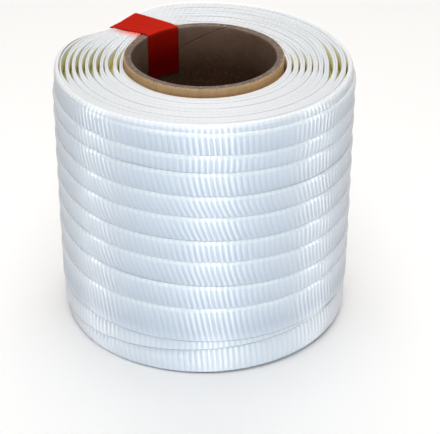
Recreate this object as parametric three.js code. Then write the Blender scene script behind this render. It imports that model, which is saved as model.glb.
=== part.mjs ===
// A roll of woven cord strapping: one flat strap wound back and forth on a cardboard core, each turn
// lapping over the one before it, with a strip of plain tape over the top of the winding.
// Millimetres, +Z up. The roll stands on z = 0 and the side that is looked at faces -Y.
// An angle called theta is in degrees, is 0 at that front and grows towards +X.
import * as THREE from "three";
import { mergeVertices } from "three/addons/utils/BufferGeometryUtils.js";

// Cardboard core
const CORE_INNER_DIAMETER = 76;
const CORE_WALL = 4;
const CORE_LENGTH = 150;
const CORE_EDGE = 0.5;
const CORE_FORWARD = 2;

// Winding. Its top rises a little towards the outer edge, at the front and behind.
const ROLL_RADIUS = 79.8;
const RIM_RADIUS = 78;
const FOOT_RADIUS = 77;
const FOOT_CURL = 3;
const ROLL_HEIGHT = 145.8;
const RIM_RISE = 1;
const RIM_CORNER = 0.6;
const STRAP_WIDTH = 20.5;
const BORE_CLEARANCE = 0.4;
const PIECE_GAP = 0.3;
const SIDES = 64;

// The tape pulls the winding in and down where it crosses the outer edge
const TAPE_THETA = -141;
const TAPE_WIDTH = 20;
const TAPE_THICKNESS = 0.8;
const TAPE_STANDOFF = 0.6;
const TAPE_INSIDE_DROP = 26;
const TAPE_OUTSIDE_DROP = 32;
const TAPE_OUTSIDE_STEPS = [0.35, 0.7, 1];
const TAPE_STEPS_ACROSS = 4;
const PINCH_THETA = -134;
const PINCH_SPREAD = 12.5;
const PINCH_IN = 7;
const PINCH_DOWN = 2.6;
const PINCH_REACH = 90;
const PINCH_FROM_SHARE = 0.2;

// Steps in the side, as depths below the roll's radius: at a proud upper edge, at the last turn's lower
// edge and at the lower edge of the layer beneath it
const UPPER_EDGE = { crease: 1.6, lip: 0, belly: 0.5 };
const LAST_LOWER_EDGE = { crease: 1.3, lip: 0.4 };
const UNDER_LOWER_EDGE = { crease: 1.6, lip: 0.8 };
const STEP_HEIGHT = 0.5;
const LEAST_ROW = 0.6;

// Upper edge of each turn of the outermost layer, at the front. The strap runs level at the rim,
// comes down turn by turn and ends behind, so whole turns are heights at the front.
const LEVEL_UNTIL_TURN = -0.35;
const CLEAR_OF_RIM_AT_TURN = -0.15;
const EDGE_HEIGHTS = [
  { turn: LEVEL_UNTIL_TURN, edge: 146 },
  { turn: 0, edge: 143 },
  { turn: 1, edge: 131 },
  { turn: 2, edge: 121.5 },
  { turn: 3, edge: 108 },
  { turn: 4, edge: 96 },
  { turn: 5, edge: 82.5 },
  { turn: 6, edge: 70 },
  { turn: 7, edge: 55.5 },
  { turn: 7.85, edge: 42.5 },
  { turn: 8, edge: 42 },
  { turn: 8.5, edge: 40.5 },
];
const LAST_TURN = 8;
const STRAP_END_THETA = 160;

// Lower edge of the layer that shows under the last turn. It leaves the foot of the roll behind and
// climbs in the same direction, until the layer above hides it.
const UNDER_EDGE_HEIGHTS = [
  { turn: -0.5, edge: 0 },
  { turn: -0.3, edge: 5 },
  { turn: -0.15, edge: 10 },
  { turn: 0, edge: 16 },
  { turn: 0.1, edge: 18.5 },
  { turn: 0.5, edge: 21.5 },
  { turn: 1, edge: 29 },
];

// Rings that the edges of the strap make on top, from the core outwards, with the open gap outside
// each ring at the left and at the right of the roll. Elsewhere the rings lie close.
const RINGS = [
  { left: 1.0, right: 1.1 },
  { left: 1.9, right: 0.9 },
  { left: 0.5, right: 1.1 },
  { left: 1.3, right: 0.7 },
  { left: 1.5, right: 0.4 },
  { left: 1.1, right: 0.5 },
  { left: 1.2, right: 1.9 },
  { left: 1.1, right: 1.8 },
  { left: 1.5, right: 0.9 },
  { left: 0, right: 0 },
];
const GAP_LEFT_THETA = -85;
const GAP_RIGHT_THETA = 85;
const GAP_SPREAD = 20;
const CLOSED_GAP = 0.45;
const CLOSED_GAP_DEPTH = 1.1;
const OPEN_GAP_DEPTH_PER_WIDTH = 3;
const RING_LEVEL_SPREAD = 0.35;
const RING_LEVEL_STEP = 2.4;
const CORE_GAP = 1.4;
const CORE_GAP_THETA = 40;
const CORE_GAP_DEPTH = 18;

const radians = THREE.MathUtils.degToRad;

function smoothRise(value, from, to) {
  return THREE.MathUtils.smoothstep(value, from, to);
}

function turnedAway(theta, centre) {
  return THREE.MathUtils.euclideanModulo(theta - centre + 180, 360) - 180;
}

function hump(theta, centre, spread) {
  return Math.exp(-0.5 * (turnedAway(theta, centre) / spread) ** 2);
}

function curveThrough(positions, values) {
  const curve = new THREE.CubicInterpolant(positions, values, 1);
  return (position) => curve.evaluate(position)[0];
}

const edgeAtTurn = curveThrough(
  EDGE_HEIGHTS.map((row) => row.turn),
  EDGE_HEIGHTS.map((row) => row.edge),
);
const underEdgeAtTurn = curveThrough(
  UNDER_EDGE_HEIGHTS.map((row) => row.turn),
  UNDER_EDGE_HEIGHTS.map((row) => row.edge),
);

// Height of the winding's top at a share of the way from the core, 0, to the outer edge, 1
function topHeight(theta, share) {
  const pinch = hump(theta, PINCH_THETA, PINCH_SPREAD) * smoothRise(share, PINCH_FROM_SHARE, 1);
  const rise = RIM_RISE * share * Math.cos(radians(theta)) ** 2;
  return ROLL_HEIGHT + rise - PINCH_DOWN * pinch;
}

function pinchAt(theta, z) {
  const reach = smoothRise(z, ROLL_HEIGHT - PINCH_REACH, ROLL_HEIGHT);
  return PINCH_IN * hump(theta, PINCH_THETA, PINCH_SPREAD) * reach;
}

// Radius that the proud upper edges of the turns reach
function lipRadius(theta, z) {
  return ROLL_RADIUS - pinchAt(theta, z);
}

function rimRadius(theta) {
  return RIM_RADIUS - pinchAt(theta, ROLL_HEIGHT);
}

// Distance from the roll's axis to a circle round the core, which stands a little forward of the axis
function coreCircle(theta, radius) {
  const angle = radians(theta);
  return CORE_FORWARD * Math.cos(angle) + Math.sqrt(radius ** 2 - (CORE_FORWARD * Math.sin(angle)) ** 2);
}

// The crease and the lip of a step at a lower edge, where the layer above the edge stands proud
function lowerEdgeStep(edge, depths) {
  return [
    new THREE.Vector2(ROLL_RADIUS - depths.crease, edge),
    new THREE.Vector2(ROLL_RADIUS - depths.lip, edge + STEP_HEIGHT),
  ];
}

// Layers at the foot of the roll, from the surface it stands on up to the last turn's lower edge
function footPoints(theta) {
  const shownTurn = theta > STRAP_END_THETA ? LAST_TURN - 1 : LAST_TURN;
  const lastEdge = edgeAtTurn(shownTurn + theta / 360) - STRAP_WIDTH;
  const lastStep = lowerEdgeStep(lastEdge, LAST_LOWER_EDGE);
  const curl = new THREE.Vector2(ROLL_RADIUS - LAST_LOWER_EDGE.crease, FOOT_CURL);
  const firstEdge = Math.min(underEdgeAtTurn(theta / 360), lastEdge - 2 * LEAST_ROW);
  const secondEdge = Math.min(underEdgeAtTurn(1 + theta / 360), lastEdge - LEAST_ROW);
  const sunk = 1 - smoothRise(firstEdge, FOOT_CURL, 2 * FOOT_CURL);
  const hidden = smoothRise(secondEdge, lastEdge - 4 * LEAST_ROW, lastEdge - LEAST_ROW);
  const firstStep = lowerEdgeStep(firstEdge, UNDER_LOWER_EDGE).map((point) => point.lerp(curl, sunk));
  const secondStep = lowerEdgeStep(secondEdge, UNDER_LOWER_EDGE).map((point) => point.lerp(lastStep[0], hidden));
  return [new THREE.Vector2(FOOT_RADIUS, 0), curl, ...firstStep, ...secondStep, ...lastStep];
}

// Outer side of the winding: each turn stands proud at its upper edge and leans in to the crease below.
// The first turn comes out of the rim, and the last one ends behind.
function turnPoints(theta, below, rim) {
  const points = [];
  for (let turn = LAST_TURN; turn >= 0; turn -= 1) {
    const place = turn + theta / 360;
    const edge = Math.min(edgeAtTurn(place), rim.y - LEAST_ROW);
    const middle = 0.5 * (edge + Math.min(edgeAtTurn(place - 1), rim.y));
    const wholeTurnDown = smoothRise(place, 0.5, 1);
    const bellyDepth = THREE.MathUtils.lerp(ROLL_RADIUS - RIM_RADIUS, UPPER_EDGE.belly, wholeTurnDown);
    const row = [
      new THREE.Vector2(lipRadius(theta, edge) - UPPER_EDGE.lip, edge - STEP_HEIGHT),
      new THREE.Vector2(lipRadius(theta, edge) - UPPER_EDGE.crease, edge),
      new THREE.Vector2(lipRadius(theta, middle) - bellyDepth, middle),
    ];
    const ended = turn === LAST_TURN && theta > STRAP_END_THETA;
    const inRim = 1 - smoothRise(place, LEVEL_UNTIL_TURN, CLEAR_OF_RIM_AT_TURN);
    points.push(...row.map((point) => (ended ? below.clone() : point.lerp(rim, inRim))));
  }
  return points;
}

// Top of the winding, from the outer edge in to the core: each ring has an outer and an inner edge, and
// the foot of the gap inside it
function ringPoints(theta) {
  const count = RINGS.length;
  const inner = coreCircle(theta, boreRadius(theta, ROLL_HEIGHT));
  const outer = rimRadius(theta) - RIM_CORNER;
  const points = [];
  for (let ring = count - 1; ring >= 0; ring -= 1) {
    const wave = Math.sin(RING_LEVEL_STEP * ring + radians(theta));
    const level = topHeight(theta, ring / count) + RING_LEVEL_SPREAD * wave;
    const outerEdge = THREE.MathUtils.lerp(inner, outer, (ring + 1) / count);
    const innerEdge = THREE.MathUtils.lerp(inner, outer, ring / count);
    const outerGap = ring === count - 1 ? 0 : gapOutside(ring, theta);
    const innerGap = ring === 0 ? 0 : gapOutside(ring - 1, theta);
    points.push(new THREE.Vector2(outerEdge - 0.5 * outerGap, level));
    points.push(new THREE.Vector2(innerEdge + 0.5 * innerGap, level));
    if (ring > 0) {
      points.push(new THREE.Vector2(innerEdge, level - gapDepth(innerGap)));
    }
  }
  return points;
}

function gapOutside(ring, theta) {
  const left = RINGS[ring].left * hump(theta, GAP_LEFT_THETA, GAP_SPREAD);
  const right = RINGS[ring].right * hump(theta, GAP_RIGHT_THETA, GAP_SPREAD);
  return CLOSED_GAP + left + right;
}

function gapDepth(gap) {
  return CLOSED_GAP_DEPTH + OPEN_GAP_DEPTH_PER_WIDTH * (gap - CLOSED_GAP);
}

function boreRadius(theta, z) {
  const coreRadius = CORE_INNER_DIAMETER / 2 + CORE_WALL;
  const facing = Math.max(0, Math.cos(radians(theta - CORE_GAP_THETA)));
  const open = CORE_GAP * facing * smoothRise(z, ROLL_HEIGHT - CORE_GAP_DEPTH, ROLL_HEIGHT);
  return coreRadius + BORE_CLEARANCE + open;
}

function borePoint(theta, z) {
  return new THREE.Vector2(coreCircle(theta, boreRadius(theta, z)), z);
}

// Section of the winding at one angle, as radius and height, closed on itself
function rollSection(theta) {
  const foot = footPoints(theta);
  const rim = new THREE.Vector2(rimRadius(theta), topHeight(theta, 1) - RIM_CORNER);
  const turns = turnPoints(theta, foot[foot.length - 1], rim);
  const bore = [borePoint(theta, ROLL_HEIGHT - CORE_GAP_DEPTH), borePoint(theta, 0)];
  return [borePoint(theta, 0), ...foot, ...turns, rim, ...ringPoints(theta), ...bore];
}

// Welds points that meet and drops the faces that have closed up
function welded(geometry) {
  geometry.deleteAttribute("normal");
  geometry.deleteAttribute("uv");
  const merged = mergeVertices(geometry, 1e-3);
  const corners = merged.getIndex().array;
  const kept = [];
  for (let i = 0; i < corners.length; i += 3) {
    const [a, b, c] = corners.slice(i, i + 3);
    if (a !== b && b !== c && c !== a) {
      kept.push(a, b, c);
    }
  }
  merged.setIndex(kept);
  merged.computeVertexNormals();
  return merged;
}

// A lathe round Z whose section changes with the angle, starting and ending behind the roll
function sweptSection(sectionAt) {
  const geometry = new THREE.LatheGeometry(sectionAt(0), SIDES, -Math.PI);
  const position = geometry.getAttribute("position");
  for (let side = 0; side <= SIDES; side += 1) {
    const theta = -180 + (360 * side) / SIDES;
    const closing = side === SIDES ? -180 : theta;
    const section = sectionAt(theta);
    section.forEach((point, row) => {
      const x = point.x * Math.sin(radians(closing));
      const y = -point.x * Math.cos(radians(closing));
      position.setXYZ(side * section.length + row, x, y, point.y);
    });
  }
  return welded(geometry);
}

function coreGeometry() {
  const inner = CORE_INNER_DIAMETER / 2;
  const outer = inner + CORE_WALL;
  const section = [
    new THREE.Vector2(inner + CORE_EDGE, 0),
    new THREE.Vector2(outer - CORE_EDGE, 0),
    new THREE.Vector2(outer, CORE_EDGE),
    new THREE.Vector2(outer, CORE_LENGTH - CORE_EDGE),
    new THREE.Vector2(outer - CORE_EDGE, CORE_LENGTH),
    new THREE.Vector2(inner + CORE_EDGE, CORE_LENGTH),
    new THREE.Vector2(inner, CORE_LENGTH - CORE_EDGE),
    new THREE.Vector2(inner, CORE_EDGE),
    new THREE.Vector2(inner + CORE_EDGE, 0),
  ];
  return new THREE.LatheGeometry(section, SIDES).rotateX(Math.PI / 2);
}

// Underside of the tape at one angle: up inside the core, over its rim, down to the winding's outer
// edge and down its side. Each point is a distance from the roll's axis and a height.
function tapeUnderside(theta) {
  const coreInner = coreCircle(theta, CORE_INNER_DIAMETER / 2);
  const coreOuter = coreCircle(theta, CORE_INNER_DIAMETER / 2 + CORE_WALL);
  const inside = coreInner - PIECE_GAP;
  const overCore = CORE_LENGTH + PIECE_GAP;
  const edge = rimRadius(theta);
  const overEdge = topHeight(theta, 1) + RING_LEVEL_SPREAD + TAPE_STANDOFF;
  const points = [
    new THREE.Vector2(inside, CORE_LENGTH - TAPE_INSIDE_DROP),
    new THREE.Vector2(inside, CORE_LENGTH - 0.5 * TAPE_INSIDE_DROP),
    new THREE.Vector2(inside, CORE_LENGTH - CORE_EDGE),
    new THREE.Vector2(coreInner + 0.5 * CORE_EDGE, overCore),
    new THREE.Vector2(coreOuter, overCore),
    new THREE.Vector2(0.5 * (coreOuter + edge), 0.5 * (overCore + overEdge)),
    new THREE.Vector2(edge - 0.5 * RIM_CORNER, overEdge),
    new THREE.Vector2(edge + TAPE_STANDOFF, overEdge - 2 * RIM_CORNER),
  ];
  for (const share of TAPE_OUTSIDE_STEPS) {
    const z = ROLL_HEIGHT - share * TAPE_OUTSIDE_DROP;
    points.push(new THREE.Vector2(lipRadius(theta, z) + TAPE_STANDOFF, z));
  }
  return points;
}

// Moves a line of points out by a distance, square to the line, with its corners kept parallel
function raisedLine(points, distance) {
  return points.map((point, i) => {
    const before = points[Math.max(i - 1, 0)];
    const after = points[Math.min(i + 1, points.length - 1)];
    const first = i === 0 ? after.clone().sub(point) : point.clone().sub(before);
    const second = i === points.length - 1 ? first.clone() : after.clone().sub(point);
    const normalOne = new THREE.Vector2(-first.y, first.x).normalize();
    const normalTwo = new THREE.Vector2(-second.y, second.x).normalize();
    const normal = normalOne.add(normalTwo).normalize();
    return point.clone().addScaledVector(normal, distance / normal.dot(normalTwo));
  });
}

function tapeGeometry() {
  const stepsAlong = tapeUnderside(TAPE_THETA).length - 1;
  const geometry = new THREE.BoxGeometry(stepsAlong, TAPE_WIDTH, 1, stepsAlong, TAPE_STEPS_ACROSS, 1);
  const position = geometry.getAttribute("position");
  for (let i = 0; i < position.count; i += 1) {
    const along = Math.round(position.getX(i) + stepsAlong / 2);
    const middleRadius = tapeUnderside(TAPE_THETA)[along].x;
    const swing = Math.asin(position.getY(i) / middleRadius);
    const theta = TAPE_THETA + THREE.MathUtils.radToDeg(swing);
    const underside = tapeUnderside(theta);
    const point = position.getZ(i) > 0 ? raisedLine(underside, TAPE_THICKNESS)[along] : underside[along];
    position.setXYZ(i, point.x * Math.sin(radians(theta)), -point.x * Math.cos(radians(theta)), point.y);
  }
  return welded(geometry);
}

const cardboard = new THREE.MeshStandardMaterial({ color: 0xa88a6a, roughness: 0.9, metalness: 0 });
const wovenStrap = new THREE.MeshStandardMaterial({ color: 0xe9edf1, roughness: 0.55, metalness: 0 });
const redTape = new THREE.MeshStandardMaterial({ color: 0xc02414, roughness: 0.35, metalness: 0 });

const core = new THREE.Mesh(coreGeometry(), cardboard);
core.name = "core";
core.position.y = -CORE_FORWARD;

const strapRoll = new THREE.Mesh(sweptSection(rollSection), wovenStrap);
strapRoll.name = "strap_roll";

const tape = new THREE.Mesh(tapeGeometry(), redTape);
tape.name = "tape";

const group = new THREE.Group();
group.add(core, strapRoll, tape);

export default group;
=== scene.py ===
# A roll of woven cord strapping on a cardboard core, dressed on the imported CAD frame.
# Lengths are millimetres and become metres when a mesh is made, but those of the looks, the camera and the
# light are metres. theta is in degrees, is 0 at the front of the roll (-Y) and grows towards +X.
# A turn is one full angle of the wound strap, so a strap's place is a number of turns and also sets its height.
import math

import bpy
import numpy as np
from mathutils import Matrix, Vector


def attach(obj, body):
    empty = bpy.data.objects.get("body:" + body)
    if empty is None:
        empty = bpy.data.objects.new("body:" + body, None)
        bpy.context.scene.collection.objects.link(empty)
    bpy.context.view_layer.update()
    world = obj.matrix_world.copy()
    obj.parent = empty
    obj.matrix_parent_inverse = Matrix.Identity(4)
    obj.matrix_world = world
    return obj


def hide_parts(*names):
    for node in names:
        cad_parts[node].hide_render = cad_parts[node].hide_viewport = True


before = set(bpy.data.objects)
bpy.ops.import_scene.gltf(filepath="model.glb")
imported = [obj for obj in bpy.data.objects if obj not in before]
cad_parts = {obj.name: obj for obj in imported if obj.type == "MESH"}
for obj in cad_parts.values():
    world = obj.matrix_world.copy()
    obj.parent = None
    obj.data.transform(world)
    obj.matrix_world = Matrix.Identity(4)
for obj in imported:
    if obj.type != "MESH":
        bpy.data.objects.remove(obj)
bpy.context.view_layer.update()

MM = 0.001

# ---------------------------------------------------------------- sizes

# Winding
ROLL_RADIUS = 79.8
RIM_RADIUS = 78.0
ROLL_HEIGHT = 145.8
RIM_RISE = 1.0

# Strap and its ribs. The valleys between ribs lie a little below the strap's plain face.
STRAP_WIDTH = 20.5
STRAP_THICKNESS = 1.2
RIB_PITCH = 3.095
RIBS_PER_TURN = 162
STRAP_PER_TURN = RIB_PITCH * RIBS_PER_TURN
RIB_HEIGHT = 0.26
VALLEY_DEPTH = 0.08
RIB_SAMPLES = np.array([0.0, 0.12, 0.38, 0.62, 0.88])
# Cross-section of a strap: distance down from its upper edge, distance inwards from its outer face, and how
# much of a rib's height the point takes
SECTION_DOWN, SECTION_IN, RIB_SHARE = np.array([
    (0.00, 1.15, 0.0), (0.42, 0.70, 0.05), (1.0, 0.34, 0.2), (1.7, 0.09, 0.5), (2.6, 0.0, 0.9), (6.0, 0.0, 1.0),
    (9.5, 0.0, 1.0), (12.6, 0.0, 1.0), (19.7, 0.0, 0.5), (20.4, 0.25, 0.05), (20.2, STRAP_THICKNESS, 0.0),
    (0.60, 1.9, 0.0),
]).T[:, None, :]
UPPER_EDGE_POINTS = (RIB_SHARE < 0.3) * (SECTION_DOWN < 10)
# How much of a rib's height lifts the upper edge, which gives it a finely notched line
EDGE_NOTCH = 0.3

# The tape pulls the winding in and down where it crosses the outer edge
PINCH_THETA, PINCH_SPREAD = -134.0, 12.5
PINCH_IN, PINCH_DOWN = 7.5, 2.6
PINCH_REACH = 90.0
PINCH_FROM_SHARE = 0.2

# Outermost layer: upper edge of each turn at the front, as turn and height
EDGE_HEIGHTS = [(-0.35, 146), (0, 143), (1, 131), (2, 121.5), (3, 108), (4, 96), (5, 82.5), (6, 70), (7, 55.5),
                (7.85, 42.5), (8, 42), (8.5, 40.5)]
# Slow wander of that edge: waves a turn, size and start
EDGE_WAVES = [(1.31, 1.0, 1.0), (3.17, 0.6, 2.1), (6.7, 0.35, 3.7)]
EDGE_WANDER = 0.25
LEVEL_UNTIL_TURN = -0.35
CLEAR_OF_RIM_TURN = 0.05
# The strap starts sunk into the layer beneath, and its last turn lies flat on it
START_TURN, PROUD_FROM_TURN = -1.39, -0.95
START_THETA = -141
START_DEPTH = 1.3
LAST_TURN = (7.38, 7.50)
END_TURN = 8.444
END_THETA = 160
LEAST_PITCH = 0.5
# How far the ribs of each turn lean towards +theta on their way down, as turn and length
RIB_LEAN = [(-1, 0.4), (0, 1.1), (1, 0.0), (2, 2.4), (3, 4.4), (4, 4.3), (5, 1.8), (6, 3.9), (7, 2.4), (8, 3.6)]
LEAST_LEANING_PITCH = 6.0

# Depth of the crease that each turn leans in to, above the upper edge of the turn below it
CREASE_DEPTH = 1.25
# What the crease gains where that upper edge stands away and leaves a dark line, as turn and depth
OPEN_CREASES = [(-0.4, 0), (1.85, 0), (1.93, 0.5), (2.03, 0.25), (2.12, 0), (2.9, 0), (3.05, 0.4), (3.2, 0.4),
                (3.4, 0), (4, 0.15), (4.88, 0.1), (4.95, 0.35), (5.03, 0.3), (5.12, 0.05), (6, 0), (6.85, 0),
                (6.93, 0.6), (7.02, 0.4), (7.12, 0.05), (8, 0), (8.5, 0)]
# Slope at which a strap goes on inwards where the next one covers it
HIDDEN_SLOPE = 0.09

# Layer beneath, which was wound upwards: lower edge of each turn, as turn and height
UNDER_START_TURN, UNDER_END_TURN = -2.1, 1.15
UNDER_EDGE_HEIGHTS = [(-2.1, 0.2), (-1.5, 0.2), (-1.05, 0.2), (-0.9, 1.6), (-0.8, 2.2), (-0.7, 1.2), (-0.5, 0.2),
                      (-0.3, 5), (-0.15, 10), (0, 16), (0.1, 18.5), (0.5, 21.5), (1, 29), (1.2, 31)]
UNDER_LEAN = 1.3
LEAST_HEIGHT = 0.05
# Face of the foot, as height and depth below the roll's radius
FOOT_FACE = [(0, 2.9), (1.2, 2.1), (3, 1.5), (7, 1.05), (11, 1.1), (15.5, 1.5), (18.5, 1.7), (22, 1.8)]
UNDER_START_DEPTH, UNDER_PROUD_TURNS = 1.25, (-1.6, -1.45)
CLIMB_TURNS, CLIMB_HEIGHTS = (-0.5, -0.35), (1.0, 6.0)
COVERED_DEPTH = 2.6

# Rings of strap edges on top: gaps outside each pair at the left and at the right of the roll
RING_GAPS = [(1.0, 1.1), (1.9, 0.9), (0.5, 1.1), (1.3, 0.7), (1.5, 0.4), (1.1, 0.5), (1.2, 1.9), (1.1, 1.8),
             (1.5, 0.9)]
LEFT_GAP, RIGHT_GAP, CLOSED_GAP = 1.45, 1.1, 0.01
BAND_COUNT = 2 * len(RING_GAPS) + 1
BAND_DEPTH = 15.0
BAND_SEAM_THETA = 165
BAND_SAMPLES = np.array([0.0, 0.2, 0.5, 0.8])
# Cross-section of a ring, as share of its thickness inwards from its outer face and distance down from its top
BAND_IN, BAND_DOWN = np.array([
    (0.50, 0.0), (0.15, 0.07), (0.0, 0.34), (0.0, 5.0), (0.0, BAND_DEPTH), (1.0, BAND_DEPTH), (1.0, 5.0),
    (1.0, 0.34), (0.85, 0.07),
]).T[:, None, :]

# What fills the winding: its wall as inset and height, its top as shares of the way out, its bore as heights
BODY_SIDES = 180
BODY_DEPTH = 3.6
BODY_WALL = [(1.5, 1.0), (0.0, 6.0), (0.0, 60.0), (0.8, 100.0), (1.5, 130.0)]
BODY_TOP = (1.0, 0.8, 0.6, 0.4, 0.2, 0.0)
BODY_BORE = (130.0, 60.0, 1.0)

# Core
CORE_INNER, CORE_OUTER = 38.0, 42.0
CORE_LENGTH = 150.0
CORE_FORWARD = 2.0
CORE_SIDES = 240
CORE_GAP, CORE_GAP_THETA, CORE_GAP_DEPTH = 1.4, 40.0, 18.0
BORE_CLEARANCE = 0.4
# Section of the core's wall, as radius, height and how ragged the point is
CORE_PROFILE = [
    (CORE_OUTER, 148.4, 0), (CORE_OUTER, 75, 0), (CORE_OUTER, 1.5, 0), (CORE_OUTER - 0.12, 0.15, 0),
    (CORE_OUTER - 0.5, 0, 0), (CORE_INNER + 0.5, 0, 0), (CORE_INNER + 0.12, 0.15, 0), (CORE_INNER, 1.5, 0),
    (CORE_INNER, 75, 0), (CORE_INNER, 148.2, 0), (CORE_INNER + 0.02, 149.2, 1), (CORE_INNER + 0.22, 149.75, 1),
    (CORE_INNER + 0.7, 149.92, 1), (CORE_INNER + 1.6, 149.82, 0.6), (CORE_INNER + 2.5, 149.9, 0.6),
    (CORE_INNER + 3.3, 149.85, 1), (CORE_OUTER - 0.25, 149.7, 1), (CORE_OUTER - 0.03, 149.3, 1),
]

# Tape
TAPE_THETA = -141.0
TAPE_WIDTH, TAPE_THICKNESS = 20.0, 0.16
TAPE_ACROSS = 24
TAPE_SAG = 0.3
TAPE_OVER_CORE, TAPE_OVER_ROLL = 0.35, 0.45
TAPE_INSIDE_HEIGHTS = (124.0, 137.0, 148.0, 149.8)
# Down the roll's wall, as drop from the winding's top and distance beyond the rim
TAPE_OUTSIDE = [(4.5, 0.5), (8.5, 1.0), (11.5, 2.2), (16.0, 2.4), (22.4, 2.4), (27.0, 2.4), (32.0, 2.4)]
TAPE_LIFT = 0.12
TAPE_TOOTH, TAPE_TEETH = 0.35, 9

# ---------------------------------------------------------------- looks

STRAP_WHITE = (0.92, 0.915, 0.93, 1)
FOOT_WHITE = (0.98, 0.945, 0.935, 1)
# Painted shade that greys the rings on top all over
TOP_SHADE_GREY = (0.705, 0.74, 0.775, 1)
# Painted shade in the valleys between ribs
VALLEY_SHADE_BLUE = (0.60, 0.65, 0.75, 1)
# Painted shade that greys the strap's face towards the crease
CREASE_SHADE_GREY = (0.58, 0.59, 0.64, 1)
# Painted highlight along the strap's upper edge
EDGE_HIGHLIGHT_WHITE = (1.0, 0.995, 0.985, 1)
# Painted shadow on the strap's lower corner, under its edge
CORNER_SHADOW_GREY = (0.30, 0.30, 0.33, 1)
# Painted bounce light, olive deep in the gaps between rings
GAP_BOUNCE_OLIVE = (0.77, 0.73, 0.35, 1)
# Painted red light from the tape on the rings beside it
TAPE_RED_LIGHT = (0.85, 0.13, 0.08, 1)
# Shares of the strap's width, as where a painted shade or highlight starts and where it is full
CREASE_SHADE_FROM_ABOVE, CREASE_SHADE_FROM_BELOW = (-0.12, 0.66), (1.15, 0.66)
EDGE_HIGHLIGHT_BAND, CORNER_SHADOW_BAND = (0.115, 0.060), (0.962, 0.980)
# Heights at which the painted bounce light starts to turn the gaps between rings olive and is full
GAP_HEIGHTS = (0.1457, 0.1429)
# Distances from the tape's middle line, and along it from the roll's axis
BESIDE_TAPE, PAST_AXIS = (0.014, 0.030), (0.02, 0.0)
# Where the painted red light from the tape falls, across the tape and along it
GLOW_ACROSS = ((0.0172, 0.0098), (-0.0125, -0.0100))
GLOW_ALONG = ((0.074, 0.050), (0.0, 0.02))
YARNS_ACROSS = 34

# Inside of the core: painted shade deep down, and the colours near the top
CORE_INSIDE_SHADED = ((0.050, 0.021, 0.009, 1), (0.092, 0.045, 0.023, 1))
CORE_INSIDE_SHALLOW = ((0.225, 0.138, 0.092, 1), (0.35, 0.228, 0.16, 1))
CORE_OUTSIDE = ((0.44, 0.235, 0.095, 1), (0.62, 0.38, 0.185, 1))
CORE_END = ((0.085, 0.066, 0.056, 1), (0.215, 0.172, 0.145, 1))
END_FLECKS = (0.36, 0.31, 0.27, 1)
CORE_SPECKS = (0.05, 0.04, 0.035, 1)
CORE_SEAM = (0.10, 0.07, 0.05, 1)
# Heights over which the painted shade inside the core gives way to the colours near the top
CORE_SHADE_HEIGHTS = (0.122, 0.151)
END_INNER_BORDER, END_OUTER_BORDER = (0.0380, 0.0388), (0.0410, 0.0419)
BORDER_RAGGED = 0.0022
PLY_PITCH = 0.0007
SEAM_CLIMB = 0.115
STREAK_SCALE = (260, 260, 40)

TAPE_REDS = ((0.44, 0.008, 0.001, 1), (0.52, 0.013, 0.002, 1))
# Painted shade on the tape where it lies inside the core, by radius and height
TAPE_SHADE_RED = (0.16, 0.001, 0.001, 1)
TAPE_INSIDE_RADII, TAPE_SHADE_HEIGHTS = (0.0412, 0.0405), (0.1505, 0.130)

FLOOR_WHITES = ((0.93, 0.925, 0.92, 1), (0.95, 0.945, 0.94, 1))
FLOOR_GLOW, FLOOR_GLOW_STRENGTH = (1.0, 0.99, 0.98, 1), 0.05
FLOOR_REACH = 3

# ---------------------------------------------------------------- camera

CAMERA_PLACE = (0, -0.7163, 0.4729)
CAMERA_YAW, CAMERA_PITCH, CAMERA_ROLL = 0.012, 0.533, 0.003
CAMERA_LENS, CAMERA_SENSOR = 122.35, 36

# ---------------------------------------------------------------- light

LIGHTS_AIM = (0, 0, 0.07)
# Lights that show only in the sheen of the ribs: name, theta, height, size and power
SHEEN_LIGHTS = [("strip", 6, 0.28, (0.14, 0.46), 8.0), ("left", -83, 0.12, (0.05, 0.30), 5.2),
                ("right", 85, 0.12, (0.05, 0.30), 5.6)]
SHEEN_DISTANCE = 1.4
SHEEN_COLOUR = (0.98, 0.99, 1.0)
# The others: name, place, size, power, colour and whether it also shows in the sheen
SOFT_LIGHTS = [("window", (0.0, -2.0, 0.14), (0.7, 0.26), 14.8, (0.32, 0.68, 1.0), False),
               ("overhead", (0.0, -0.22, 1.5), (1.3, 1.0), 14.2, (1.0, 0.985, 0.965), True),
               ("key", (0.0, -1.15, 1.25), (0.9, 0.5), 3.5, (1.0, 0.985, 0.97), False),
               ("behind", (0.0, 0.75, 1.4), (1.5, 0.8), 11.0, (1.0, 0.985, 0.965), True)]
WORLD_COLOUR, WORLD_STRENGTH = (1, 0.96, 0.92, 1), 0.11


# ---------------------------------------------------------------- curves


def smooth(value, start, end):
    share = np.clip((np.asarray(value, float) - start) / (end - start), 0, 1)
    return share * share * (3 - 2 * share)


def near_zero(theta):
    """The same angle, from -180 to 180."""
    return (theta + 180) % 360 - 180


def hump(theta, centre, spread):
    return np.exp(-0.5 * (near_zero(theta - centre) / spread) ** 2)


def table_at(rows, at):
    """A value between a table's rows, along straight lines."""
    return np.interp(at, *np.array(rows, float).T)


def curve_through(rows):
    """A smooth curve through a table's rows, as cubic pieces with the slopes of their neighbours."""
    x, y = np.array(rows, float).T
    slope = np.gradient(y, x)

    def curve(at):
        at = np.clip(at, x[0], x[-1])
        i = np.clip(np.searchsorted(x, at) - 1, 0, len(x) - 2)
        step = x[i + 1] - x[i]
        s = (at - x[i]) / step
        ends = (2 * s**3 - 3 * s**2 + 1) * y[i] + (3 * s**2 - 2 * s**3) * y[i + 1]
        return ends + step * ((s**3 - 2 * s**2 + s) * slope[i] + (s**3 - s**2) * slope[i + 1])

    return curve


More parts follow.
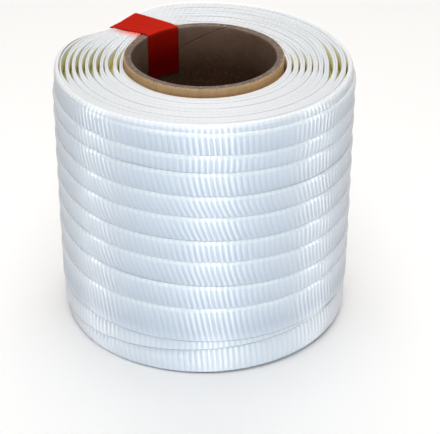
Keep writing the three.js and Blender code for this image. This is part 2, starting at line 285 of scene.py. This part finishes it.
edge_at_turn = curve_through(EDGE_HEIGHTS)
lean_at_turn = curve_through(RIB_LEAN)
under_edge_at_turn = curve_through(UNDER_EDGE_HEIGHTS)


def edge_wander(turn):
    """Slow wander of the upper edge, about -1 to 1, the same on each run."""
    waves = sum(size * np.sin(2 * math.pi * rate * turn + start) for rate, size, start in EDGE_WAVES)
    return waves / sum(size for _, size, _ in EDGE_WAVES)


def top_height(theta, share):
    """Height of the winding's top, at a share of the way from the core to the rim."""
    pinch = hump(theta, PINCH_THETA, PINCH_SPREAD) * smooth(share, PINCH_FROM_SHARE, 1)
    return ROLL_HEIGHT + RIM_RISE * share * np.cos(np.radians(theta)) ** 2 - PINCH_DOWN * pinch


def pinch_at(theta, z):
    """How far the tape pulls the wall in."""
    reached = smooth(z, ROLL_HEIGHT - PINCH_REACH, ROLL_HEIGHT)
    return PINCH_IN * hump(theta, PINCH_THETA, PINCH_SPREAD) * reached


def core_circle(theta, radius):
    """Distance from the roll's axis to a circle round the core's axis, which lies further forward."""
    angle = np.radians(theta)
    return CORE_FORWARD * np.cos(angle) + np.sqrt(radius**2 - (CORE_FORWARD * np.sin(angle)) ** 2)


def bore_radius(theta, z):
    """The winding's bore, which stands away from the core near the top on one side."""
    facing = np.maximum(0, np.cos(np.radians(theta - CORE_GAP_THETA)))
    standing_away = CORE_GAP * facing * smooth(z, ROLL_HEIGHT - CORE_GAP_DEPTH, ROLL_HEIGHT)
    return core_circle(theta, CORE_OUTER + BORE_CLEARANCE + standing_away)


def polar(theta, radius, z):
    angle = np.radians(theta)
    return np.stack([radius * np.sin(angle), -radius * np.cos(angle), z], -1) * MM


# ---------------------------------------------------------------- meshes


def swept(name, points, uv=None, closed_along=False, caps=False):
    """A mesh from a grid of points, along by across, closed across. Its outer side shows where along grows
    towards +theta and across goes downwards."""
    along, across = points.shape[:2]
    rows = np.arange(along if closed_along else along - 1)
    i, j = np.meshgrid(rows, np.arange(across), indexing="ij")
    i2, j2 = (i + 1) % along, (j + 1) % across
    quads = np.stack([i * across + j, i * across + j2, i2 * across + j2, i2 * across + j], -1).reshape(-1, 4)
    faces = quads.tolist()
    if caps:
        faces.append(list(range(across))[::-1])
        faces.append(list(range((along - 1) * across, along * across)))
    mesh = bpy.data.meshes.new(name)
    mesh.from_pydata(points.reshape(-1, 3).tolist(), [], faces)
    if uv is not None:
        corner_uv = uv.reshape(-1, 2)[quads]
        if closed_along:
            ribs_round = uv[-1, 0, 0] - uv[0, 0, 0] + (uv[1, 0, 0] - uv[0, 0, 0])
            last = (i == along - 1).reshape(-1)
            corner_uv[last, 2:, 0] += round(ribs_round)
        corner_uv = corner_uv.reshape(-1, 2)
        if caps:
            corner_uv = np.concatenate([corner_uv, uv[0][::-1], uv[-1]])
        layer = mesh.uv_layers.new(name="strap")
        layer.data.foreach_set("uv", corner_uv.astype(np.float32).reshape(-1))
    mesh.shade_smooth()
    piece = bpy.data.objects.new(name, mesh)
    bpy.context.collection.objects.link(piece)
    return piece


def strap_uv(rib, across):
    """Ribs along the strap and share of its width across, for each point of a grid."""
    return np.stack(np.broadcast_arrays(rib[:, None], across), -1)


def finish_piece(piece, material, replaced):
    piece.data.materials.append(material)
    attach(piece, "root")
    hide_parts(replaced)


# ---------------------------------------------------------------- material nodes


def new_material(name):
    material = bpy.data.materials.new(name)
    material.use_nodes = True
    tree = material.node_tree
    tree.nodes.clear()
    output = tree.nodes.new("ShaderNodeOutputMaterial")
    shader = tree.nodes.new("ShaderNodeBsdfPrincipled")
    tree.links.new(shader.outputs["BSDF"], output.inputs["Surface"])
    return material, tree, shader


def feed(tree, socket, value):
    """Links a node's result to a socket, or sets the socket to a plain value."""
    if isinstance(value, bpy.types.NodeSocket):
        tree.links.new(value, socket)
    else:
        socket.default_value = value


def node(tree, kind, inputs=(), **settings):
    made = tree.nodes.new(kind)
    for key, value in settings.items():
        setattr(made, key, value)
    for key, value in dict(inputs).items():
        feed(tree, made.inputs[key], value)
    return made


def math_node(tree, operation, a, b=0.0):
    return node(tree, "ShaderNodeMath", {0: a, 1: b}, operation=operation).outputs[0]


def product(tree, a, b):
    return math_node(tree, "MULTIPLY", a, b)


def map_range(tree, value, low, high, to_low=0.0, to_high=1.0):
    ends = {"Value": value, "From Min": low, "From Max": high, "To Min": to_low, "To Max": to_high}
    return node(tree, "ShaderNodeMapRange", ends, interpolation_type="SMOOTHSTEP").outputs["Result"]


def mix_colour(tree, share, first, second):
    made = node(tree, "ShaderNodeMix", data_type="RGBA")
    for place, value in ((0, share), (6, first), (7, second)):
        feed(tree, made.inputs[place], value)
    return made.outputs[2]


def noise(tree, scale, detail, vector, roughness=0.5):
    inputs = {"Scale": scale, "Detail": detail, "Roughness": roughness, "Vector": vector}
    return node(tree, "ShaderNodeTexNoise", inputs).outputs["Fac"]


def object_place(tree):
    return node(tree, "ShaderNodeTexCoord").outputs["Object"]


def parts(tree, vector):
    return node(tree, "ShaderNodeSeparateXYZ", {"Vector": vector}).outputs


def distance(tree, x, y):
    return math_node(tree, "SQRT", math_node(tree, "ADD", product(tree, x, x), product(tree, y, y)))


def from_half(tree, value):
    """How far a value's fraction is from one half."""
    return math_node(tree, "ABSOLUTE", math_node(tree, "SUBTRACT", math_node(tree, "FRACT", value), 0.5))


def set_bump(tree, shader, height, strength, depth):
    bump = node(tree, "ShaderNodeBump", {"Height": height, "Strength": strength, "Distance": depth})
    tree.links.new(bump.outputs["Normal"], shader.inputs["Normal"])


# ---------------------------------------------------------------- materials


def face_shades(tree, colour, across, crease_shade):
    """Painted light over the strap's width: painted shade greying the face towards the crease, a painted
    highlight along the upper edge and a painted shadow on the lower corner.
    """
    # Painted shade greying the face towards the crease
    crease_mask = product(tree, map_range(tree, across, *CREASE_SHADE_FROM_ABOVE), map_range(tree, across, *CREASE_SHADE_FROM_BELOW))
    colour = mix_colour(tree, product(tree, crease_mask, crease_shade), colour, CREASE_SHADE_GREY)
    # Painted highlight along the upper edge
    colour = mix_colour(tree, map_range(tree, across, *EDGE_HIGHLIGHT_BAND), colour, EDGE_HIGHLIGHT_WHITE)
    # Painted shadow on the lower corner
    return mix_colour(tree, map_range(tree, across, *CORNER_SHADOW_BAND), colour, CORNER_SHADOW_GREY)


def gap_shades(tree, colour, where):
    """Painted bounce light, olive deep in the gaps between rings, but not where the tape presses them down, and
    painted red light from the tape on the rings beside it."""
    deep = map_range(tree, parts(tree, where)[2], *GAP_HEIGHTS)
    turn = (0, 0, math.radians(90 - TAPE_THETA))
    turned = parts(tree, node(tree, "ShaderNodeMapping", {"Vector": where, "Rotation": turn}).outputs[0])
    along, across = turned[0], turned[1]
    aside = map_range(tree, math_node(tree, "ABSOLUTE", across), *BESIDE_TAPE)
    aside = math_node(tree, "MAXIMUM", aside, map_range(tree, along, *PAST_AXIS))
    # Painted bounce light, olive deep in the gaps
    colour = mix_colour(tree, product(tree, deep, aside), colour, GAP_BOUNCE_OLIVE)
    # Painted red light from the tape on the rings beside it
    beside = product(tree, *(map_range(tree, across, *ends) for ends in GLOW_ACROSS))
    near_core = product(tree, *(map_range(tree, along, *ends) for ends in GLOW_ALONG))
    return mix_colour(tree, product(tree, beside, near_core), colour, TAPE_RED_LIGHT)


def strap_material(name, white, valley_shade, ior, crease_shade=None):
    """Ribbed weave with painted shade in the valleys between ribs, and fine yarns along the strap. The last
    argument is how much painted shade greys the face towards the crease. Without it the material is that of the
    strap's edges on top, which painted shade greys all over."""
    material, tree, shader = new_material(name)
    rib, across, _ = parts(tree, node(tree, "ShaderNodeUVMap", uv_map="strap").outputs["UV"])
    where = object_place(tree)
    from_crest = from_half(tree, rib)
    darker = tuple(0.96 * part for part in white[:3]) + (1,)
    colour = mix_colour(tree, noise(tree, 55.0, 3.0, where), white, darker)
    if crease_shade is None:
        # Painted shade: the rings on top are greyed all over
        colour = mix_colour(tree, 0.8, colour, TOP_SHADE_GREY)
    else:
        colour = face_shades(tree, colour, across, crease_shade)
    # Painted shade in the valleys between ribs
    valley = map_range(tree, from_crest, 0.14, 0.5)
    colour = mix_colour(tree, product(tree, valley, valley_shade), colour, VALLEY_SHADE_BLUE)
    if crease_shade is None:
        colour = gap_shades(tree, colour, where)
    tree.links.new(colour, shader.inputs["Base Color"])
    yarn = math_node(tree, "SINE", product(tree, across, 2 * math.pi * YARNS_ACROSS))
    fibre = noise(tree, 1400.0, 2.0, where)
    set_bump(tree, shader, math_node(tree, "ADD", product(tree, yarn, 0.35), fibre), 0.25, 0.00012)
    tree.links.new(map_range(tree, from_crest, 0.18, 0.40, 0.40, 0.80), shader.inputs["Roughness"])
    tangent = node(tree, "ShaderNodeTangent", direction_type="RADIAL", axis="Z")
    tree.links.new(tangent.outputs["Tangent"], shader.inputs["Tangent"])
    shader.inputs["IOR"].default_value = ior
    shader.inputs["Specular IOR Level"].default_value = 1.0
    shader.inputs["Anisotropic"].default_value = 1.0
    shader.inputs["Anisotropic Rotation"].default_value = 0.25
    shader.inputs["Sheen Weight"].default_value = 0.15
    shader.inputs["Sheen Roughness"].default_value = 0.4
    return material


def cardboard_material():
    """Tan outside, grey on the cut ends and grey-brown inside, where painted shade deepens down the bore, with a
    wound seam, fibres and specks.
    """
    material, tree, shader = new_material("core_cardboard_mat")
    where = object_place(tree)
    x, roll_y, z = parts(tree, where)
    y = math_node(tree, "ADD", roll_y, CORE_FORWARD * MM)
    radius = distance(tree, x, y)
    mottled = noise(tree, 160.0, 5.0, where, 0.65)
    fine = noise(tree, 900.0, 3.0, where, 0.6)
    stretched = node(tree, "ShaderNodeMapping", {"Vector": where, "Scale": STREAK_SCALE}).outputs[0]
    streaks = noise(tree, 1.0, 4.0, stretched)
    # Painted shade inside the core, darker deep down
    shallow = map_range(tree, z, *CORE_SHADE_HEIGHTS)
    insides = (mix_colour(tree, shallow, *pair) for pair in zip(CORE_INSIDE_SHADED, CORE_INSIDE_SHALLOW))
    inside = mix_colour(tree, mottled, *insides)
    outside = mix_colour(tree, streaks, *CORE_OUTSIDE)
    flecks = map_range(tree, noise(tree, 650.0, 2.0, where), 0.55, 0.68)
    end = mix_colour(tree, product(tree, flecks, 0.5), mix_colour(tree, mottled, *CORE_END), END_FLECKS)
    ragged = product(tree, math_node(tree, "SUBTRACT", fine, 0.5), BORDER_RAGGED)
    torn = math_node(tree, "ADD", radius, ragged)
    colour = mix_colour(tree, map_range(tree, torn, *END_INNER_BORDER), inside, end)
    colour = mix_colour(tree, map_range(tree, torn, *END_OUTER_BORDER), colour, outside)
    specks = map_range(tree, noise(tree, 420.0, 1.0, where), 0.72, 0.76)
    colour = mix_colour(tree, product(tree, specks, 0.6), colour, CORE_SPECKS)
    climbed = math_node(tree, "DIVIDE", z, SEAM_CLIMB)
    turned = math_node(tree, "DIVIDE", math_node(tree, "ARCTAN2", y, x), 2 * math.pi)
    seam = map_range(tree, from_half(tree, math_node(tree, "ADD", climbed, turned)), 0.0, 0.006, 1.0, 0.0)
    colour = mix_colour(tree, product(tree, seam, 0.5), colour, CORE_SEAM)
    tree.links.new(colour, shader.inputs["Base Color"])
    plies = math_node(tree, "SINE", product(tree, radius, 2 * math.pi / PLY_PITCH))
    height = math_node(tree, "ADD", product(tree, plies, 0.12), fine)
    set_bump(tree, shader, math_node(tree, "SUBTRACT", height, seam), 0.5, 0.0003)
    shader.inputs["Roughness"].default_value = 0.85
    shader.inputs["Specular IOR Level"].default_value = 0.25
    return material


def tape_material():
    """Satin red film with faint stretch lines, and painted shade where it lies inside the core."""
    material, tree, shader = new_material("red_tape_mat")
    where = object_place(tree)
    x, y, z = parts(tree, where)
    # Painted shade on the part of the tape inside the core
    within = map_range(tree, distance(tree, x, y), *TAPE_INSIDE_RADII)
    inside = product(tree, within, map_range(tree, z, *TAPE_SHADE_HEIGHTS))
    colour = mix_colour(tree, noise(tree, 90.0, 2.0, where), *TAPE_REDS)
    tree.links.new(mix_colour(tree, inside, colour, TAPE_SHADE_RED), shader.inputs["Base Color"])
    set_bump(tree, shader, noise(tree, 500.0, 2.0, where), 0.12, 0.0002)
    shader.inputs["Roughness"].default_value = 0.5
    shader.inputs["Specular IOR Level"].default_value = 0.06
    return material


# ---------------------------------------------------------------- outer strap


def stations(first_turn, last_turn):
    """Places along a strap where its section is set, counted in ribs."""
    ribs = np.arange(math.ceil(first_turn * RIBS_PER_TURN), math.floor(last_turn * RIBS_PER_TURN))
    return (ribs[:, None] + RIB_SAMPLES[None, :]).ravel()


def rib_height(rib):
    part = rib % 1.0
    return RIB_HEIGHT * 4 * part * (1 - part)


def upper_edge(turn):
    """Height of the outermost strap's upper edge."""
    rim = top_height(360 * turn, 1)
    coming_down = edge_at_turn(turn) + EDGE_WANDER * edge_wander(turn) * smooth(turn, 0.0, 0.3)
    return np.where(turn < LEVEL_UNTIL_TURN, rim, np.minimum(coming_down, rim))


def pitch_at(turn, least):
    """Height from a turn's upper edge down to that of the next turn."""
    return np.maximum(upper_edge(turn) - upper_edge(turn + 1), least)


def in_last_turn(turn):
    """1 along the strap's last turn, which lies flat."""
    return smooth(turn, *LAST_TURN)


def lip_depth(turn):
    """Depth of the strap's upper edge below the roll's radius: sunk where it starts, level with the rim, then
    proud once it has left the rim."""
    sunk = START_DEPTH * (1 - smooth(turn, START_TURN, PROUD_FROM_TURN))
    at_rim = (ROLL_RADIUS - RIM_RADIUS) * (1 - smooth(turn, LEVEL_UNTIL_TURN, CLEAR_OF_RIM_TURN))
    return sunk + at_rim


def outer_depth(turn, down):
    """Depth of the outer face: each turn leans in to the crease above the next turn's edge, and the last one
    lies flat."""
    lip = lip_depth(turn)
    pitch = pitch_at(turn, LEAST_PITCH)
    share = np.clip(down / pitch, 0, 1)
    crease = CREASE_DEPTH + table_at(OPEN_CREASES, turn + 1)
    leaning = lip + (crease - lip) * share**1.5 + HIDDEN_SLOPE * np.maximum(down - pitch, 0)
    flat = 0.5 * smooth(down, 0, 6) - 0.1 * smooth(down, 15, STRAP_WIDTH)
    last = in_last_turn(turn)
    return leaning * (1 - last) + flat * last


def rib_lean(turn, down):
    share = down / pitch_at(turn, LEAST_LEANING_PITCH)
    bent = np.where(share < 1, np.clip(share, 0, 1) ** 1.6, 1 + 0.5 * (share - 1))
    straight = (np.maximum(down, 0) / STRAP_WIDTH) ** 1.2
    last = in_last_turn(turn)
    return lean_at_turn(turn) * (bent * (1 - last) + straight * last)


def outer_strap():
    rib = stations(START_TURN, END_TURN)
    base_turn = (rib / RIBS_PER_TURN)[:, None]
    turn = base_turn + rib_lean(base_turn, SECTION_DOWN) / STRAP_PER_TURN
    theta = 360 * turn
    raised = rib_height(rib)[:, None] - VALLEY_DEPTH
    z = upper_edge(turn) - SECTION_DOWN + UPPER_EDGE_POINTS * raised * EDGE_NOTCH
    radius = ROLL_RADIUS - outer_depth(turn, SECTION_DOWN) - SECTION_IN + raised * RIB_SHARE
    points = polar(theta, radius - pinch_at(theta, z), z)
    return swept("outer_strap", points, strap_uv(rib, SECTION_DOWN / STRAP_WIDTH), caps=True)


# ---------------------------------------------------------------- foot of the roll


def foot_cover(turn):
    """Height from which the layer beneath is hidden, by its own next turn or by the last outer turn."""
    theta = near_zero(360 * turn)
    last_turn = np.where(theta > END_THETA, 7, 8) + theta / 360
    return np.minimum(under_edge_at_turn(turn + 1), edge_at_turn(last_turn) - STRAP_WIDTH)


def under_depth(turn, z):
    """Depth of the layer beneath: it curls in at the foot, stands proud where it climbs, and sinks where the
    next turn covers it."""
    edge = under_edge_at_turn(turn)
    climbing = smooth(edge, *CLIMB_HEIGHTS) * smooth(turn, *CLIMB_TURNS)
    face = table_at(FOOT_FACE, z) * (1 - climbing) + (0.9 + 0.3 * smooth(z - edge, 0, 5)) * climbing
    sunk = UNDER_START_DEPTH * (1 - smooth(turn, *UNDER_PROUD_TURNS))
    cover = foot_cover(turn)
    covered = smooth(z, cover - 1.0, cover - 0.2) * np.maximum(COVERED_DEPTH - face, 0)
    return face + sunk + covered + HIDDEN_SLOPE * np.maximum(z - cover, 0)


def under_strap():
    rib = stations(UNDER_START_TURN, UNDER_END_TURN)
    up = STRAP_WIDTH - SECTION_DOWN
    lean = UNDER_LEAN * smooth(STRAP_WIDTH - up, 0, STRAP_WIDTH)
    turn = (rib / RIBS_PER_TURN)[:, None] + lean / STRAP_PER_TURN
    raised = rib_height(rib)[:, None] - VALLEY_DEPTH
    z = np.maximum(under_edge_at_turn(turn) + up, LEAST_HEIGHT)
    radius = ROLL_RADIUS - under_depth(turn, z) - SECTION_IN + raised * RIB_SHARE
    points = polar(360 * turn, radius, z)
    return swept("under_strap", points, strap_uv(rib, 1 - up / STRAP_WIDTH), caps=True)


# ---------------------------------------------------------------- rings of strap edges on top


def tape_span(theta):
    """The tape's flat part at one angle: where it leaves the core and meets the roll's edge, and its heights."""
    edge = RIM_RADIUS - 0.2 - pinch_at(theta, ROLL_HEIGHT)
    over_core, over_edge = CORE_LENGTH + TAPE_OVER_CORE, top_height(theta, 1) + TAPE_OVER_ROLL
    return core_circle(theta, CORE_OUTER), edge, over_core, over_edge


def beside_tape(theta):
    """1 under the tape, fading to 0 beside it."""
    return smooth(np.abs(near_zero(theta - TAPE_THETA)), 36, 13)


def tape_rise(theta, radius):
    """How much the rings stand up to meet the underside of the tape, which fades out beside it."""
    start, end, first, last = tape_span(theta)
    share = np.clip((radius - start) / (end - start), 0, 1)
    underside = first + share * (last - first) - TAPE_SAG * np.sin(math.pi * share)
    room = np.maximum(underside - top_height(theta, share), 0)
    return beside_tape(theta) * smooth(radius - start, 0.2, 2.5) * room


def band_space(theta):
    """Radii between which the rings lie at the top of the roll."""
    inner = bore_radius(theta, ROLL_HEIGHT)
    turn = np.where(theta < START_THETA, theta / 360, theta / 360 - 1)
    before_start = smooth(theta, -178, -145) * (theta < START_THETA)
    depth = lip_depth(turn) + START_DEPTH * before_start + STRAP_THICKNESS + 0.25
    return inner, ROLL_RADIUS - depth - pinch_at(theta, ROLL_HEIGHT)


def opening(theta, side):
    """How far the rings stand apart at the left (-1) or the right (1) of the roll, from 0 to 1."""
    away = side * near_zero(theta)
    return smooth(away, 62, 84) * (1 - 0.75 * smooth(away, 92, 116)) * (1 - smooth(away, 112, 150))


def band_layout(theta):
    """Thickness of a ring and the gap outside each ring, from the core outwards: wide gaps between pairs at the
    sides of the roll, and rings that touch at its front and back."""
    left, right = opening(theta, -1), opening(theta, 1)
    closed = CLOSED_GAP + 0 * theta
    gaps = []
    for at_left, at_right in RING_GAPS:
        gaps += [closed, CLOSED_GAP + LEFT_GAP * at_left * left + RIGHT_GAP * at_right * right]
    gaps = np.stack(gaps + [closed])
    inner, outer = band_space(theta)
    return (outer - inner - gaps.sum(0)) / BAND_COUNT, gaps


def band_wander(theta, band):
    """How much higher or lower than the top a ring stands, and each second ring stands higher than its pair."""
    pair_wave = 0.35 * np.sin(2.4 * (band // 2) + np.radians(theta))
    own_wave = 0.16 * np.sin(1.9 * band + np.radians(3 * theta))
    return pair_wave + own_wave + (0.22 if band % 2 else -0.10)


def ring_band(name, band):
    middle = CORE_OUTER + 1.9 + band * 1.78
    ribs = round(2 * math.pi * middle / RIB_PITCH)
    rib = (np.arange(ribs)[:, None] + BAND_SAMPLES[None, :]).ravel()
    theta = near_zero(rib / ribs * 360 + BAND_SEAM_THETA)
    inner, _ = band_space(theta)
    thickness, gaps = band_layout(theta)
    outer_face = inner + (band + 1) * thickness + gaps[:band].sum(0)
    bold = 0.25 + 0.55 * smooth(np.abs(theta), 70, 150)
    raised = (np.interp(rib % 1.0, [0, 0.5, 1], [0, 1, 0]) * RIB_HEIGHT * bold)[:, None] - VALLEY_DEPTH
    under_tape = beside_tape(theta)
    touching = smooth(np.abs(theta), 84, 50)
    wander = band_wander(theta, band) * (1 - under_tape) * (1 - 0.6 * touching)
    level = top_height(theta, (band + 0.5) / (BAND_COUNT + 1)) + wander - 0.25 * under_tape
    level = level + tape_rise(theta, outer_face - thickness / 2)
    groove = (1 - 0.65 * touching) * (1 + 1.2 * hump(theta, -112, 16))
    depth = BAND_DOWN * np.where(BAND_DOWN < 1, groove[:, None], 1)
    z = level[:, None] - depth + (BAND_DOWN < 0.3) * raised * 0.9
    radius = outer_face[:, None] - BAND_IN * thickness[:, None] + raised
    points = polar(theta[:, None], radius, z)
    return swept(f"{name}_{band}", points, strap_uv(rib, BAND_DOWN / STRAP_WIDTH), closed_along=True)


def top_rings(name):
    bands = [ring_band(name, band) for band in range(BAND_COUNT)]
    rings = bands[0]
    with bpy.context.temp_override(active_object=rings, object=rings, selected_objects=bands,
                                   selected_editable_objects=bands):
        bpy.ops.object.join()
    rings.name = rings.data.name = name
    return rings


def winding_body():
    """What lies behind the turns and under the rings, so that no gap is seen through."""
    theta = -180 + 360 * np.arange(BODY_SIDES) / BODY_SIDES
    wall = ROLL_RADIUS - BODY_DEPTH
    rows = []
    for inset, z in BODY_WALL:
        rows.append(polar(theta, wall - inset - pinch_at(theta, z + 6), np.full(BODY_SIDES, z)))
    inner, outer = band_space(theta)
    sunk = 0.9 + 9.0 * np.maximum(opening(theta, -1), opening(theta, 1)) ** 1.3
    for share in BODY_TOP:
        radius = inner + (outer + 0.3 - inner) * share
        rows.append(polar(theta, radius, top_height(theta, share) + tape_rise(theta, radius) - sunk))
    for z in BODY_BORE:
        rows.append(polar(theta, bore_radius(theta, z) + 0.2, np.full(BODY_SIDES, z)))
    uv = strap_uv(theta / 360 * RIBS_PER_TURN, np.linspace(0, 1, len(rows))[None, :])
    return swept("winding_body", np.stack(rows[::-1], 1), uv, closed_along=True)


# ---------------------------------------------------------------- core and tape


def core_tube():
    theta = 360 * np.arange(CORE_SIDES) / CORE_SIDES
    angle = np.radians(theta)
    ragged = 0.10 * np.sin(np.radians(7 * theta)) + 0.07 * np.sin(np.radians(23 * theta + 40))
    rows = []
    for radius, z, loose in CORE_PROFILE:
        r = radius + 0.5 * loose * ragged * (1 if radius < 40 else -1)
        height = z + 0.6 * loose * ragged
        rows.append(np.stack([r * np.sin(angle), -r * np.cos(angle) - CORE_FORWARD, height], -1) * MM)
    return swept("core_tube", np.stack(rows, 1), closed_along=True)


def tape_line(theta):
    """Underside of the tape at one angle, as distances from the roll's axis and heights."""
    core_in = core_circle(theta, CORE_INNER)
    core_out, edge, over_core, over_edge = tape_span(theta)
    line = [(core_in - 0.35, z) for z in TAPE_INSIDE_HEIGHTS]
    line += [(core_in + 0.05, over_core), (core_in + 1.2, over_core + 0.02), (core_out, over_core)]
    for share in (0.2, 0.4, 0.6, 0.8):
        sag = TAPE_SAG * math.sin(math.pi * share)
        line.append((core_out + share * (edge - core_out), over_core + share * (over_edge - over_core) - sag))
    line += [(edge - 0.8, over_edge), (edge + 0.3, over_edge - 0.2), (edge + 0.5, over_edge - 1.2)]
    for drop, proud in TAPE_OUTSIDE:
        z = ROLL_HEIGHT - drop
        line.append((RIM_RADIUS - pinch_at(theta, z) + proud, z))
    return rounded(np.array(line))


def rounded(line, passes=3):
    """The line with its corners cut, once more in each pass."""
    for _ in range(passes):
        cut = np.empty((2 * (len(line) - 1), 2))
        cut[0::2] = 0.75 * line[:-1] + 0.25 * line[1:]
        cut[1::2] = 0.25 * line[:-1] + 0.75 * line[1:]
        line = np.concatenate([line[:1], cut, line[-1:]])
    return line


def red_tape():
    """The tape's film, as lines along it from one side to the other, with faint creases and toothed ends."""
    middle = tape_line(TAPE_THETA)
    end = len(middle) - 1
    top, bottom = [], []
    for side in np.linspace(-1, 1, TAPE_ACROSS + 1):
        swing = np.degrees(np.arcsin(side * TAPE_WIDTH / 2 / middle[:, 0]))
        upper, lower = np.empty((end + 1, 3)), np.empty((end + 1, 3))
        for i, theta in enumerate(TAPE_THETA + swing):
            here = tape_line(theta)
            ahead = here[min(i + 1, end)] - here[max(i - 1, 0)]
            tangent = ahead / np.linalg.norm(ahead)
            normal = np.array([-tangent[1], tangent[0]])
            along = i / end
            crease = 0.05 * math.sin(9 * side + 26 * along) + 0.03 * math.sin(17 * side - 40 * along + 1)
            lift = TAPE_LIFT + crease * min(1, 4 * along) - TAPE_LIFT * abs(side) ** 6
            point = here[i] + normal * lift
            if i in (0, end):
                tooth = TAPE_TOOTH * (1 - 2 * abs((side * TAPE_TEETH) % 1 - 0.5))
                point = point + tangent * tooth * (-1 if i == 0 else 1)
            upper[i] = polar(theta, *(point + normal * TAPE_THICKNESS))
            lower[i] = polar(theta, *point)
        top.append(upper)
        bottom.append(lower)
    across = np.array(top + bottom[::-1])
    return swept("tape_film", across.transpose(1, 0, 2)[::-1])


# ---------------------------------------------------------------- camera, light and floor


def add_camera():
    right = Vector((math.cos(CAMERA_YAW), -math.sin(CAMERA_YAW), 0))
    level = Vector((math.sin(CAMERA_YAW), math.cos(CAMERA_YAW), 0))
    ahead = math.cos(CAMERA_PITCH) * level - Vector((0, 0, math.sin(CAMERA_PITCH)))
    up = right.cross(ahead)
    rolled_right = math.cos(CAMERA_ROLL) * right + math.sin(CAMERA_ROLL) * up
    rolled_up = math.cos(CAMERA_ROLL) * up - math.sin(CAMERA_ROLL) * right
    data = bpy.data.cameras.new("camera")
    data.lens = CAMERA_LENS
    data.sensor_width = CAMERA_SENSOR
    data.clip_start = 0.01
    camera = bpy.data.objects.new("camera", data)
    turned = Matrix((rolled_right, rolled_up, -ahead)).transposed()
    camera.matrix_world = Matrix.Translation(CAMERA_PLACE) @ turned.to_4x4()
    bpy.context.collection.objects.link(camera)
    bpy.context.scene.camera = camera


def add_area(name, place, size, power, colour):
    data = bpy.data.lights.new(name, "AREA")
    data.shape = "RECTANGLE"
    data.size, data.size_y = size
    data.energy = power
    data.color = colour
    lamp = bpy.data.objects.new(name, data)
    lamp.location = place
    lamp.rotation_euler = (Vector(LIGHTS_AIM) - Vector(place)).to_track_quat("-Z", "Y").to_euler()
    bpy.context.collection.objects.link(lamp)
    return lamp


def add_light():
    for name, theta, height, size, power in SHEEN_LIGHTS:
        angle = math.radians(theta)
        place = (SHEEN_DISTANCE * math.sin(angle), -SHEEN_DISTANCE * math.cos(angle), height)
        add_area(name, place, size, power, SHEEN_COLOUR).visible_diffuse = False
    for name, place, size, power, colour, glossy in SOFT_LIGHTS:
        add_area(name, place, size, power, colour).visible_glossy = glossy
    world = bpy.data.worlds.new("studio")
    world.use_nodes = True
    background = world.node_tree.nodes["Background"]
    background.inputs["Color"].default_value = WORLD_COLOUR
    background.inputs["Strength"].default_value = WORLD_STRENGTH
    bpy.context.scene.world = world
    bpy.context.scene.view_settings.view_transform = "Standard"
    bpy.context.scene.view_settings.look = "None"


def add_floor():
    corners = [(FLOOR_REACH * x, FLOOR_REACH * y, 0) for x, y in ((-1, -1), (1, -1), (1, 1), (-1, 1))]
    mesh = bpy.data.meshes.new("floor")
    mesh.from_pydata(corners, [], [(0, 1, 2, 3)])
    floor = bpy.data.objects.new("floor", mesh)
    bpy.context.collection.objects.link(floor)
    material, tree, shader = new_material("floor_mat")
    colour = mix_colour(tree, noise(tree, 3.0, 2.0, object_place(tree)), *FLOOR_WHITES)
    tree.links.new(colour, shader.inputs["Base Color"])
    shader.inputs["Roughness"].default_value = 0.6
    shader.inputs["Specular IOR Level"].default_value = 0.2
    shader.inputs["Emission Color"].default_value = FLOOR_GLOW
    shader.inputs["Emission Strength"].default_value = FLOOR_GLOW_STRENGTH
    floor.data.materials.append(material)


# ---------------------------------------------------------------- the whole part

add_camera()
# The valley and crease numbers set how much painted shade the strap's faces get
woven = strap_material("woven_strap_mat", STRAP_WHITE, valley_shade=0.27, ior=2.0, crease_shade=0.62)
woven_foot = strap_material("woven_foot_mat", FOOT_WHITE, valley_shade=0.22, ior=2.0, crease_shade=0.0)
woven_edges = strap_material("woven_edges_mat", STRAP_WHITE, valley_shade=0.12, ior=1.45)

finish_piece(outer_strap(), woven, "strap_roll")
finish_piece(under_strap(), woven_foot, "strap_roll")
finish_piece(top_rings("top_rings"), woven_edges, "strap_roll")
finish_piece(winding_body(), woven_edges, "strap_roll")
finish_piece(core_tube(), cardboard_material(), "core")
finish_piece(red_tape(), tape_material(), "tape")
add_light()
add_floor()
